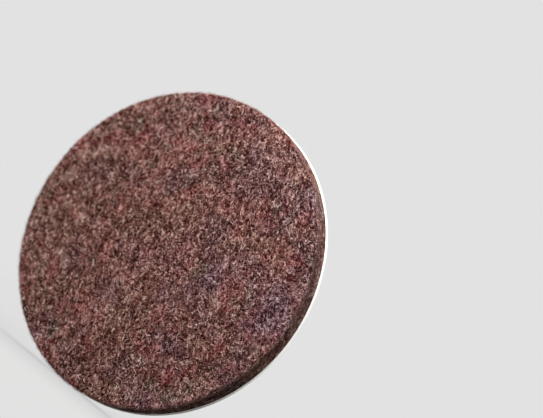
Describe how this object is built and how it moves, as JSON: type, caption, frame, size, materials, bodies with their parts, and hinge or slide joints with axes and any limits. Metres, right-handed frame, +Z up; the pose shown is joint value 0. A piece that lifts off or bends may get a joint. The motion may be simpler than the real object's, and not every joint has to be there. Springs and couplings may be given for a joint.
{
  "type": "felt polishing wheel",
  "caption": "Round pressed-felt polishing wheel with a self-adhesive back and a peel-off paper liner, for bonding to a flat lap or backing plate.",
  "frame": {"origin": "the middle of the wheel: a point on its axis, half way through its thickness", "axes": "+Y along the wheel's axis, out of the liner side; the felt working face looks along -Y; the wheel stands on its rim with +Z up"},
  "size_m": [0.1006, 0.007, 0.1006],
  "materials": {
    "felt": "pressed heathered wool felt",
    "adhesive": "tacky translucent adhesive film",
    "tape_foam": "fine closed-cell white foam",
    "release_paper": "smooth satin coated paper"
  },
  "bodies": {
    "wheel": {"felt_disc": "felt", "felt_side_adhesive": "adhesive", "foam_tape_core": "tape_foam", "lap_side_adhesive": "adhesive"},
    "liner_01": {"release_liner_strip_01": "release_paper"},
    "liner_02": {"release_liner_strip_02": "release_paper"},
    "liner_03": {"release_liner_strip_03": "release_paper"},
    "liner_04": {"release_liner_strip_04": "release_paper"},
    "liner_05": {"release_liner_strip_05": "release_paper"},
    "liner_06": {"release_liner_strip_06": "release_paper"},
    "liner_07": {"release_liner_strip_07": "release_paper"},
    "liner_08": {"release_liner_strip_08": "release_paper"},
    "liner_09": {"release_liner_strip_09": "release_paper"},
    "liner_10": {"release_liner_strip_10": "release_paper"}
  },
  "joints": [
    {"name": "liner_lift_off", "type": "slide", "parent": "wheel", "child": "liner_01", "axis": [0, 1, 0], "range_m": [0, 0.03]},
    {"name": "liner_peel", "type": "hinge", "parent": "liner_01", "child": "liner_02", "pos_m": [0.04, 0.00348, 0], "axis": [0, 0, -1], "range_deg": [0, 18]},
    {"name": "liner_fold_02", "type": "hinge", "parent": "liner_02", "child": "liner_03", "pos_m": [0.03, 0.00348, 0], "axis": [0, 0, -1], "range_deg": [0, 18]},
    {"name": "liner_fold_03", "type": "hinge", "parent": "liner_03", "child": "liner_04", "pos_m": [0.02, 0.00348, 0], "axis": [0, 0, -1], "range_deg": [0, 18]},
    {"name": "liner_fold_04", "type": "hinge", "parent": "liner_04", "child": "liner_05", "pos_m": [0.01, 0.00348, 0], "axis": [0, 0, -1], "range_deg": [0, 18]},
    {"name": "liner_fold_05", "type": "hinge", "parent": "liner_05", "child": "liner_06", "pos_m": [0, 0.00348, 0], "axis": [0, 0, -1], "range_deg": [0, 18]},
    {"name": "liner_fold_06", "type": "hinge", "parent": "liner_06", "child": "liner_07", "pos_m": [-0.01, 0.00348, 0], "axis": [0, 0, -1], "range_deg": [0, 18]},
    {"name": "liner_fold_07", "type": "hinge", "parent": "liner_07", "child": "liner_08", "pos_m": [-0.02, 0.00348, 0], "axis": [0, 0, -1], "range_deg": [0, 18]},
    {"name": "liner_fold_08", "type": "hinge", "parent": "liner_08", "child": "liner_09", "pos_m": [-0.03, 0.00348, 0], "axis": [0, 0, -1], "range_deg": [0, 18]},
    {"name": "liner_fold_09", "type": "hinge", "parent": "liner_09", "child": "liner_10", "pos_m": [-0.04, 0.00348, 0], "axis": [0, 0, -1], "range_deg": [0, 18]}
  ],
  "couplings": [
    {"joint": "liner_fold_02", "follows": "liner_peel", "ratio": 1},
    {"joint": "liner_fold_03", "follows": "liner_peel", "ratio": 1},
    {"joint": "liner_fold_04", "follows": "liner_peel", "ratio": 1},
    {"joint": "liner_fold_05", "follows": "liner_peel", "ratio": 1},
    {"joint": "liner_fold_06", "follows": "liner_peel", "ratio": 1},
    {"joint": "liner_fold_07", "follows": "liner_peel", "ratio": 1},
    {"joint": "liner_fold_08", "follows": "liner_peel", "ratio": 1},
    {"joint": "liner_fold_09", "follows": "liner_peel", "ratio": 1}
  ]
}
